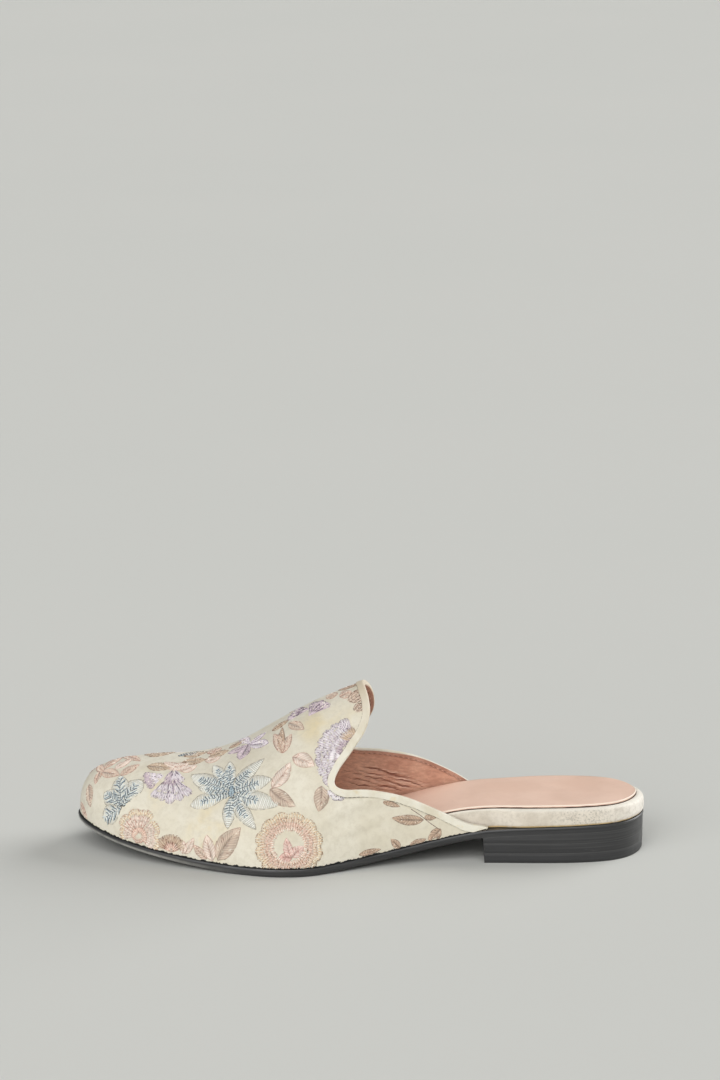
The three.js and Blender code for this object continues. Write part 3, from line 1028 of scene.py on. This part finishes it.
def shades(count, low=0.0, high=1.0):
    """Light and dark in turn, by chance more or less, so that neighbouring threads stand apart: painted sheen
    and shade as well as each thread's own tone.
    """
    turn = np.where(np.arange(count) % 2, 1, -1)
    return mix(low, high, 0.5 + turn * chance.uniform(0.15, 0.5, count))


def seam(name, line, normals, material, length, gap, width):
    """A row of stitches along a line on a surface."""
    rise = 0.16
    travel = travel_along(line)
    starts = np.arange(gap, travel[-1] - length - gap, length + gap)
    at = starts[:, None] + np.linspace(0, length, STITCH_POINTS)
    out = unit(points_along(at, travel, normals))
    tubes = thread_tubes(points_along(at, travel, line), out, width, rise)
    thread_piece(name, tubes, shades(len(tubes)), material)


# Embroidery
SKIN = BVHTree.FromPolygons(SATIN.reshape(-1, 3).tolist(), grid_faces(RIBS + 1, RIB_STEPS + 1).tolist())


def pixel_spot(pixel, hidden):
    """The point of the upper's outside behind a pixel of the photograph, and which way the upper faces there.
    On the hidden side it is the pixel of the same view in a mirror."""
    across = pixel[0] - PHOTO_SIZE[0] / 2
    up = PHOTO_SIZE[1] / 2 - pixel[1]
    way = np.array([
        across,
        FOCAL * math.cos(PITCH) + up * math.sin(PITCH),
        up * math.cos(PITCH) - FOCAL * math.sin(PITCH),
    ])
    start = EYE.copy()
    if hidden:
        way[1] = -way[1]
        start[1] = 2 * ORIGIN[1] - start[1]
    spot, normal, _, _ = SKIN.ray_cast(Vector(start - ORIGIN), Vector(way).normalized())
    if spot is None or np.array(normal) @ way < 0:
        return None
    return np.array(spot), -np.array(normal)


Patch = namedtuple("Patch", "origin along across out length")


def reach_spot(wanted, other, hidden):
    """The place behind a pixel. Where that is off the upper, it is found by going on straight from the part
    of the way to the other pixel that is on it."""
    other_spot = pixel_spot(other, hidden)
    for share in (0, 0.15, 0.3, 0.45, 0.6):
        found = pixel_spot(mix(np.array(wanted, float), np.array(other, float), share), hidden)
        if found is not None and (share == 0 or other_spot is not None):
            break
    else:
        return None
    if share == 0:
        return found
    return found[0] + (found[0] - other_spot[0]) * share / (1 - share), found[1]


def patch_between(base, tip, hidden):
    """A flat frame on the upper from one pixel to another, in millimetres."""
    ends = [reach_spot(base, tip, hidden), reach_spot(tip, base, hidden)]
    if ends[0] is None or ends[1] is None:
        return None
    (start, start_out), (end, end_out) = ends
    length = np.linalg.norm(end - start)
    along = (end - start) / length
    out = start_out + end_out
    out = unit(out - along * (out @ along))
    return Patch(start, along, np.cross(out, along), out, length)


def lay(patch, starts, ends):
    """Drops stitches onto the upper: rows of points and normals, and which points found it."""
    lift = 14
    reach = 2.4 * lift
    least_facing = 0.12
    t = np.linspace(0, 1, STITCH_POINTS)[:, None]
    flat = mix(starts[:, None], ends[:, None], t)
    above = patch.origin + flat[..., :1] * patch.along + flat[..., 1:] * patch.across + lift * patch.out
    spots = np.zeros(above.shape)
    normals = np.zeros(above.shape)
    found = np.zeros(above.shape[:2], bool)
    way = Vector(-patch.out)
    for place in np.ndindex(found.shape):
        spot, normal, _, _ = SKIN.ray_cast(Vector(above[place]), way, reach)
        if spot is None:
            continue
        spots[place] = spot
        normals[place] = -np.array(normal)
        found[place] = normals[place] @ patch.out > least_facing
    return spots, normals, found


stitched = {}


def stitch(patch, colour, starts, ends, width, rise, shade=None):
    """Adds stitches between pairs of flat points. A stitch that runs off the upper ends at its edge."""
    starts = np.asarray(starts, float).reshape(-1, 2)
    ends = np.asarray(ends, float).reshape(-1, 2)
    if not len(starts):
        return
    shade = shades(len(starts)) if shade is None else shade
    spots, normals, found = lay(patch, starts, ends)
    partly = found.any(1) & ~found.all(1)
    if partly.any():
        first = found.argmax(1) / (STITCH_POINTS - 1)
        last = 1 - found[:, ::-1].argmax(1) / (STITCH_POINTS - 1)
        begin = mix(starts, ends, first[:, None])
        finish = mix(starts, ends, last[:, None])
        spots[partly], normals[partly], found[partly] = lay(patch, begin[partly], finish[partly])
    keep = found.all(1)
    if keep.any():
        tubes = thread_tubes(spots[keep], normals[keep], width, rise)
        stitched.setdefault(colour, []).append((tubes, shade[keep]))


def some(share, *rows):
    """The same rows, by chance only a share of them."""
    pick = chance.random(len(rows[0])) < share
    return [row[pick] for row in rows]


def blade_width(t, fullness):
    """Half width of a leaf or petal along its length, as a share: pointed at the base and tip."""
    return np.sin(math.pi * np.clip(t, 0, 1) ** fullness) ** 0.85


def blade(patch, row):
    """Axis and edge of a leaf or petal in its patch, as functions of the share of its length."""
    def axis(t):
        return np.stack([t * patch.length, row.bend * 4 * t * (1 - t)], -1)

    def edge(t, side):
        point = axis(t)
        point[..., 1] += side * row.half_width * blade_width(t, row.fullness)
        return point

    return axis, edge


def outline(patch, edge, colour):
    """A thin broken line of stitches round a leaf or petal."""
    step = 1.1
    t = np.linspace(0, 1, max(int(patch.length / step), 5))
    for side in (-1, 1):
        line = edge(t, side)
        stitch(patch, colour, *some(0.85, line[:-1], line[1:]), width=0.3, rise=0.24)


def flecks(patch, colour, starts, ends, share):
    """Short stitches here and there along the way of longer ones. Dark ones are painted shade of needle
    holes, cream ones painted glints.
    """
    starts, ends = some(share, starts, ends)
    begin = chance.uniform(0.02, 0.7, len(starts))[:, None]
    stitch(patch, colour, mix(starts, ends, begin), mix(starts, ends, begin + 0.3), width=0.46, rise=0.4)


def leaf(patch, row):
    """Slanting stitches from the vein to the edge, with flecks, a thin vein and an outline."""
    axis, edge = blade(patch, row)
    line = row.thread + "_line"
    pitch = 0.6
    slant = min(0.75 * row.half_width / patch.length, 0.25)
    t = np.arange(0.02, 1 - slant, pitch / patch.length)
    for side in (-1, 1):
        ends = edge(t + slant, side)
        stitch(patch, row.thread, axis(t), ends, width=0.64, rise=0.24, shade=shades(len(t), 0.1, 0.9))
        # Dark flecks: painted shade of needle holes; cream flecks: painted glints
        flecks(patch, line, axis(t), ends, 0.16)
        flecks(patch, "cream", axis(t), ends, 0.18)
    tips = np.arange(1 - slant, 0.99, 0.5 * pitch / patch.length)
    stitch(patch, row.thread, edge(tips, -1), edge(tips, 1), width=0.6, rise=0.22)
    outline(patch, edge, line)
    vein = axis(np.linspace(0.05, 0.9, max(int(patch.length / 1.6), 3)))
    stitch(patch, line, *some(0.7, vein[:-1], vein[1:]), width=0.28, rise=0.3)


def petal(patch, row):
    """A pale petal with a thin outline, and blue barbs along its middle, as on a feather."""
    filling_pitch = 0.85
    barb_pitch = 1.25
    rib_pitch = 1.3
    axis, edge = blade(patch, row)
    t = np.arange(0.08, 0.97, filling_pitch / patch.length)
    stitch(patch, "pale", edge(t, -0.94), edge(t, 0.94), width=0.84, rise=0.14)
    outline(patch, edge, "outline")
    t = np.arange(0.02, row.feather, barb_pitch / patch.length)
    room = 0.86 * row.half_width * blade_width(t + 0.06, row.fullness)
    reach = np.minimum(room + 0.4, row.half_width * (0.32 + 0.38 * np.sin(math.pi * t / row.feather)))
    half_way = np.array([0.62, 0])
    for side in (-1, 1):
        ends = axis(t)
        ends[:, 0] += reach * row.slant * chance.uniform(0.5, 1.5, len(t))
        ends[:, 1] += reach * side * chance.uniform(0.6, 1.3, len(t))
        stitch(patch, "mist", axis(t) + half_way, ends + half_way, width=0.5, rise=0.26)
        stitch(patch, row.barbs, *some(0.92, axis(t), ends), width=0.5, rise=0.32)
    rib = axis(np.arange(0.08, row.feather + 0.04, rib_pitch / patch.length))
    stitch(patch, row.barbs, *some(0.75, rib[:-1], rib[1:]), width=0.4, rise=0.36)


def fan(patch, row):
    """Rows of radial stitches, a thread for each row from the inside out, with a scalloped edge.
    Dark flecks are painted shade where the needle went in and cream ones painted glints; ribs run most of the
    way, and a rim edges the opening."""
    pitch = 0.62
    rim_pitch = 0.9
    spread = math.radians(row.spread)
    rings = row.rings.split()
    levels = np.linspace(row.opening, 1, len(rings) + 1) * patch.length

    def polar(turn, radius):
        lobe = np.abs(np.sin(row.lobes * (turn / spread + 0.5) * math.pi)) ** 0.7
        reach = radius * (1 - row.scallop * (1 - lobe) * radius / patch.length)
        return np.stack([reach * np.cos(turn), reach * np.sin(turn)], -1)

    for colour, inner, outer in zip(rings, levels[:-1], levels[1:]):
        count = max(int(spread * outer / pitch), 5)
        turn = ((np.arange(count) + 0.5) / count - 0.5) * spread
        begin = polar(turn, inner + (outer - inner) * chance.uniform(-0.3, 0.15, count))
        end = polar(turn, outer + (outer - inner) * chance.uniform(-0.12, 0.1, count))
        stitch(patch, colour, begin, end, width=0.7, rise=0.26 + row.lift, shade=shades(count, 0.1, 0.9))
        flecks(patch, row.line, begin, end, row.holes)
        flecks(patch, "cream", begin, end, 0.7 * row.holes)
    edge = polar(turn, patch.length)
    stitch(patch, row.line, *some(0.6, edge[:-1], edge[1:]), width=0.26, rise=0.24)
    turn = np.linspace(-0.44, 0.44, row.ribs) * spread
    ribs = [polar(turn, share * patch.length) for share in (0.2, 0.8)]
    stitch(patch, row.line, *ribs, width=0.36, rise=0.4 + row.lift)
    if row.rim:
        turn = np.arange(-0.5, 0.5, rim_pitch / (spread * levels[0])) * spread
        inner = levels[0] * chance.uniform(0.88, 1.0, len(turn))
        stitch(patch, "cream", polar(turn, inner), polar(turn, inner + 1.6), width=0.6, rise=0.4)


def bud(patch, row):
    """A coiled bud: a spiral line over a pale filling."""
    across = np.arange(-0.95, 1, 0.8 / patch.length)
    half = np.sqrt(1 - across ** 2) * row.squeeze
    ends = [np.stack([across, side * half], -1) * patch.length for side in (-1, 1)]
    stitch(patch, "rose", *ends, width=0.78, rise=0.34)
    turn = np.linspace(0, row.turns * 2 * math.pi, int(row.turns * 12))
    radius = patch.length * (turn / turn[-1]) ** 0.7
    coil = np.stack([radius * np.cos(turn), radius * np.sin(turn) * row.squeeze], -1)
    stitch(patch, "taupe_line", coil[:-1], coil[1:], width=0.4, rise=0.52)


def stem(points, hidden):
    """A line of short stitches through a few pixels."""
    step = 1.2
    for start, end in zip(points[:-1], points[1:]):
        patch = patch_between(start, end, hidden)
        if patch is None:
            continue
        count = max(int(patch.length / step), 1)
        along = np.linspace(0, patch.length, count + 1)
        line = np.stack([along, np.zeros(count + 1)], -1)
        stitch(patch, "taupe_line", line[:-1], line[1:], width=0.4, rise=0.26)


# Places of the motifs, in pixels of the photograph; widths, bends and lifts are in millimetres.
# A motif with both set is also worked on the inner side.
Leaf = namedtuple("Leaf", "base tip half_width bend thread both fullness", defaults=[True, 0.85])
Petal = namedtuple("Petal", "base tip half_width bend fullness feather barbs slant both",
                   defaults=["blue", 0.3, True])
Fan = namedtuple("Fan", "base tip spread lobes scallop opening rings line holes ribs lift both rim",
                 defaults=[0.5, 0, 0, True, False])
Bud = namedtuple("Bud", "base tip turns squeeze both", defaults=[True])

LEAVES = [Leaf(*row) for row in (
    ((272, 788), (290.5, 762.5), 3.3, -0.6, "blush"),
    ((270, 789), (295.5, 806.5), 3.3, -0.7, "tan"),
    ((292.5, 757), (314.5, 766), 3.5, 0.5, "blush"),
    ((322, 786), (318.5, 811.5), 3.4, 0.4, "tan"),
    ((217.5, 861), (240.5, 827.5), 4.5, 0.8, "tan"),
    ((213, 861), (206.5, 835), 3.0, 0.2, "blush"),
    ((207, 859), (193.5, 845), 1.9, 0.2, "rose"),
    ((185, 854), (194, 838), 1.8, 0, "blush"),
    ((183, 854), (184, 841), 1.6, 0, "blush"),
    ((147, 766), (173, 768), 3.2, 0, "sand"),
    ((182, 762), (207, 759), 3.2, 0, "sand"),
    ((208, 757), (229, 750), 3.6, 0, "sand", False),
    ((144, 755), (173, 753), 3.0, 0, "sand", False),
    ((169, 770), (190, 763), 3.0, 0, "blush", False),
    ((180, 771), (197, 765.5), 3.0, 0, "blush", False),
    ((180, 769), (164, 762.5), 2.6, 0, "blush", False),
    ((229, 748.5), (246, 739), 2.4, 0, "taupe", False),
    ((205, 761.5), (221, 757), 3.0, 0, "blush", False),
    ((207, 754), (222, 748), 3.0, 0, "rose", False),
    ((102, 772), (119.5, 775), 2.8, 0, "rose"),
    ((120.5, 775.5), (139.5, 764.5), 2.4, 0, "rose"),
    ((115, 769), (132, 759.5), 2.4, 0, "blush", False),
    ((100.5, 771), (95, 784.5), 2.0, 0.3, "rose"),
    ((89, 784.5), (90.5, 807), 2.8, 0.4, "tan"),
    ((81, 802), (87.5, 819), 1.6, 0.3, "rose"),
    ((272, 731), (288.5, 720), 2.4, 0, "sand", False),
    ((289, 723), (304, 729.5), 2.6, 0, "tan"),
    ((326, 699), (338, 693), 2.6, 0, "tan"),
    ((339.5, 697), (351.5, 691), 3.4, 0, "rose"),
    ((338, 690.5), (359, 684), 2.4, 0, "taupe", False),
    ((423.5, 820), (392, 818), 2.3, 0.5, "taupe"),
    ((424.5, 817), (436, 818), 1.3, 0, "taupe"),
    ((441, 829), (428, 840), 2.4, 0.3, "taupe"),
    ((400, 848), (391, 839), 1.7, 0, "taupe"),
    ((410, 845), (426, 839), 1.3, 0, "taupe"),
    ((359, 855), (381, 849), 1.3, 0, "taupe"),
    ((383, 802), (400, 806.5), 1.2, 0, "taupe"),
    ((290.5, 857), (286.5, 838), 2.0, 0.4, "pink"),
    ((292.5, 857.5), (303.5, 846.5), 2.5, 0.4, "pink"),
    ((292, 858.5), (279, 857.5), 2.3, -0.4, "coral"),
    ((282.5, 753), (274, 734), 2.4, -0.5, "rose", False),
    ((283, 753), (291.5, 734), 2.4, 0.5, "rose", False),
    ((282.5, 753), (282.5, 727.5), 1.9, 0.3, "taupe", False),
    ((248, 745.5), (268.5, 743), 2.9, 0, "lilac", False, 1.3),
    ((248, 745), (266, 732.5), 2.2, 0, "lilac", False, 1.2),
    ((249, 744), (240, 759.5), 3.4, 0, "violet", False, 1.3),
    ((249, 744.5), (228, 753.5), 2.6, 0, "violet", False, 1.2),
    ((250, 744), (241, 737.5), 2.4, 0, "lilac", False, 1.3),
    ((231.5, 797), (231.5, 785.5), 1.5, 0, "navy"),
)]

PETALS = [Petal(*row) for row in (
    ((232.5, 789), (264.5, 758.5), 3.8, 0.8, 0.85, 0.56),
    ((233, 791), (272, 779), 4.4, 0.4, 0.95, 0.62),
    ((233, 794), (280.5, 805), 4.4, -0.8, 0.95, 0.54),
    ((233, 797), (256, 829.5), 3.3, -0.4, 0.95, 0.62),
    ((231, 797), (227.5, 829), 3.1, 0.2, 0.95, 0.64),
    ((230, 795), (190, 806), 4.2, -0.6, 1.35, 0.72),
    ((230, 792), (198, 787.5), 2.7, 0.2, 1.25, 0.76),
    ((230, 790), (191, 775), 4.3, 0.4, 1.35, 0.76),
    ((231, 788), (213.5, 765), 3.0, 0.3, 1.1, 0.76),
    ((232, 788), (230, 761.5), 3.0, 0.3, 1.0, 0.8),
    ((122, 807), (120.5, 775.5), 4.2, 0, 1.3, 0.86, "ink", 0.8),
    ((123, 807), (142, 779.5), 4.8, 0.6, 1.6, 0.72, "ink", 0.8),
    ((122, 806), (104, 793), 4.0, -0.2, 1.45, 0.86, "ink", 0.8),
    ((122, 807), (103, 819), 4.6, 0.2, 1.3, 0.86, "ink", 0.8),
    ((178, 756), (204, 751), 3.0, 0, 1.0, 0.7, "blue", 0.3, False),
)]

ROSETTE = "peach peach apricot gold"
PANSY = "peach blush blush gold"

FANS = [Fan(*row) for row in (
    ((289, 846), (289, 811.5), 360, 12, 0.1, 0.46, ROSETTE, "gold_line", 0.6, 0, 0, True, True),
    ((139, 836), (134, 809), 106, 3, 0.1, 0.14, PANSY, "rose_line", 0.6, 7),
    ((139, 836), (119.5, 832), 40, 1, 0.14, 0.2, PANSY, "rose_line", 0.6),
    ((139, 836), (160.5, 837), 96, 2, 0.14, 0.2, PANSY, "rose_line", 0.6),
    ((138.5, 835.5), (138.5, 827.5), 360, 7, 0.1, 0.45, "rose peach", "rose_line", 0.7),
    ((171, 852), (171, 834), 150, 4, 0.06, 0.1, "peach sand", "rust", 0.3, 11),
    ((165, 774.5), (143.5, 782), 74, 3, 0.12, 0.12, "lilac lilac violet", "plum"),
    ((171, 776), (161.5, 800.5), 58, 3, 0.1, 0.12, "violet lilac lilac", "plum", 0.4, 4),
    ((171, 776), (180.5, 800.5), 54, 3, 0.1, 0.12, "violet lilac lilac", "plum", 0.4, 4),
    ((174, 768.5), (178.5, 784), 44, 1, 0.2, 0.2, "lilac", "plum", 0.4),
    ((173.5, 768.5), (168, 782), 34, 1, 0.2, 0.3, "violet", "plum", 0.4),
    ((309, 709), (290, 715), 70, 2, 0.1, 0.08, "violet violet", "plum", 0.8, 3, 0, False),
    ((309, 716), (323.5, 700.5), 84, 3, 0.1, 0.08, "violet violet violet", "plum", 0.4, 5, 0, False),
    ((358, 757), (316, 746), 124, 8, 0.07, 0.4, "violet lilac lilac lilac", "plum", 0.45),
    ((347.5, 734), (341.5, 721.5), 56, 2, 0.1, 0.3, "lilac", "plum", 0, 5),
    ((338, 788), (338, 801), 150, 4, 0.08, 0.1, "lilac frost", "plum"),
    ((342, 757), (329, 754.5), 60, 1, 0.08, 0.1, "frost frost", "lilac_line", 0.1, 0, 0.2),
    ((359, 745), (345, 730.5), 56, 2, 0.08, 0.1, "tan sand", "taupe_line", 0.5, 0, 0.25),
)]

BUDS = [Bud(*row) for row in (
    ((357, 695.5), (352, 692), 2.6, 1.2),
    ((359, 707.5), (355, 705), 2.2, 1.1),
)]

STEMS = [
    ((411, 809), (420, 815), (430, 823), (440, 830)),
]

# Darkest and lightest shade of each thread, the spread between them partly painted sheen and shade
THREAD_TONES = {
    "cream": ((236, 226, 208), (255, 250, 238)),
    "tan": ((197, 174, 154), (236, 219, 201)),
    "tan_line": ((158, 122, 105), (200, 166, 148)),
    "rose": ((206, 181, 161), (244, 225, 208)),
    "rose_line": ((168, 121, 104), (209, 165, 147)),
    "blush": ((228, 205, 188), (255, 243, 231)),
    "blush_line": ((181, 140, 122), (216, 182, 164)),
    "sand": ((184, 158, 132), (230, 211, 188)),
    "sand_line": ((124, 92, 70), (170, 136, 110)),
    "taupe": ((180, 152, 129), (222, 198, 174)),
    "taupe_line": ((126, 100, 84), (170, 144, 126)),
    "pink": ((222, 184, 171), (255, 234, 223)),
    "pink_line": ((190, 134, 124), (222, 176, 164)),
    "coral": ((214, 170, 158), (248, 218, 206)),
    "coral_line": ((172, 114, 104), (206, 154, 144)),
    "rust": ((128, 84, 70), (170, 122, 104)),
    "peach": ((214, 174, 152), (255, 234, 218)),
    "apricot": ((222, 186, 154), (255, 243, 226)),
    "gold": ((232, 204, 164), (255, 250, 234)),
    "gold_line": ((122, 82, 48), (182, 138, 94)),
    "frost": ((232, 224, 228), (255, 252, 252)),
    "lilac": ((212, 196, 204), (255, 252, 252)),
    "lilac_line": ((132, 110, 136), (182, 162, 180)),
    "violet": ((190, 171, 180), (233, 218, 222)),
    "violet_line": ((116, 96, 112), (168, 148, 158)),
    "plum": ((84, 64, 86), (146, 126, 142)),
    "blue": ((36, 64, 86), (96, 124, 140)),
    "ink": ((24, 44, 62), (82, 108, 124)),
    "mist": ((196, 209, 213), (236, 241, 240)),
    "navy": ((140, 164, 178), (208, 220, 224)),
    "navy_line": ((70, 96, 116), (120, 144, 160)),
    "pale": ((234, 234, 224), (251, 250, 242)),
    "outline": ((140, 133, 119), (195, 188, 173)),
}


def embroidery():
    for make, rows in ((petal, PETALS), (leaf, LEAVES), (fan, FANS), (bud, BUDS)):
        for row in rows:
            for hidden in (False, True)[:1 + row.both]:
                patch = patch_between(row.base, row.tip, hidden)
                if patch is not None:
                    make(patch, row)
    for line in STEMS:
        for hidden in (False, True):
            stem(line, hidden)
    for colour, batches in stitched.items():
        tubes = np.concatenate([tube for tube, _ in batches])
        shade = np.concatenate([shade for _, shade in batches])
        material = thread(f"thread_{colour}", *THREAD_TONES[colour])
        thread_piece(f"embroidery_{colour}", tubes, shade, material)


# Stage
LIGHT_SPREAD = 50
LIGHTS = (
    ("heel_side", (1.0, 0.6, 0.5), 2.5),
    ("front_right", (0.7, -1.0, 0.5), 0.2),
    ("front_left", (-0.6, -1.0, 0.45), 1.5),
    ("front_high", (0.0, -1.0, 1.0), 1.1),
)


def stage():
    """A plain pale floor, an even sky and the lights."""
    bpy.ops.mesh.primitive_plane_add(size=40, location=(0, 10, 0))
    floor = bpy.context.object
    floor.name = "floor"
    finish = Finish("floor_paper", (208, 209, 204), 0.85, 0.2)
    finish.over(finish.noise(400, 2), (211, 211, 206))
    floor.data.materials.append(finish.done())
    world = bpy.data.worlds.new("studio")
    world.use_nodes = True
    sky = world.node_tree.nodes["Background"].inputs
    sky["Color"].default_value = (1, 1, 0.99, 1)
    sky["Strength"].default_value = 0.16
    bpy.context.scene.world = world
    for name, place, strength in LIGHTS:
        soft_sun(name, place, strength)
    bpy.context.scene.view_settings.view_transform = "Standard"


def soft_sun(name, place, strength):
    """A wide soft light from the direction of a place."""
    lamp = bpy.data.lights.new(name, "SUN")
    lamp.angle = math.radians(LIGHT_SPREAD)
    lamp.energy = strength
    light = bpy.data.objects.new(name, lamp)
    light.location = place
    light.rotation_euler = (-Vector(place)).to_track_quat("-Z", "Y").to_euler()
    bpy.context.scene.collection.objects.link(light)


camera()
stage()
sole_pieces()
heel_pieces()
footbed()
sock()
sock_groove()
upper_pieces()
facing()
binding()
embroidery()
